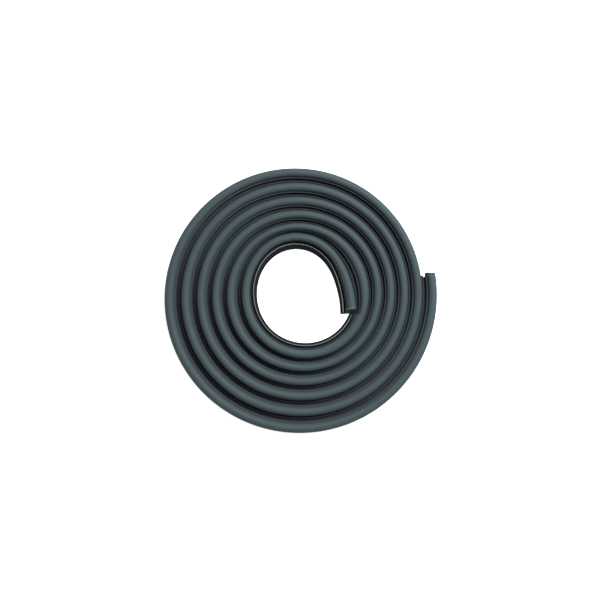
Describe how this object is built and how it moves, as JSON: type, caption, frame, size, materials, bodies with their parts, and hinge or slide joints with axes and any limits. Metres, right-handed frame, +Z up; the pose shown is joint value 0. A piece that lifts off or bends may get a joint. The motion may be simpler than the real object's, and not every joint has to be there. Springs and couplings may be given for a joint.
{
  "type": "trunk weatherstrip",
  "caption": "Flat spiral coil of extruded sponge-rubber trunk seal: a hollow round bulb beside a flat foot with a thin lip, both ends cut free.",
  "frame": {"origin": "centre of the coil's overall box, on the face it rests on", "axes": "+Z up out of the coil's flat side, from its underside to the bulbs' tops; +X towards the side where both free ends are; +Y to the picture's top"},
  "size_m": [0.3532, 0.3436, 0.0154],
  "materials": {
    "weatherstrip": "matte"
  },
  "bodies": {
    "root": {"weatherstrip": "weatherstrip"}
  },
  "joints": []
}
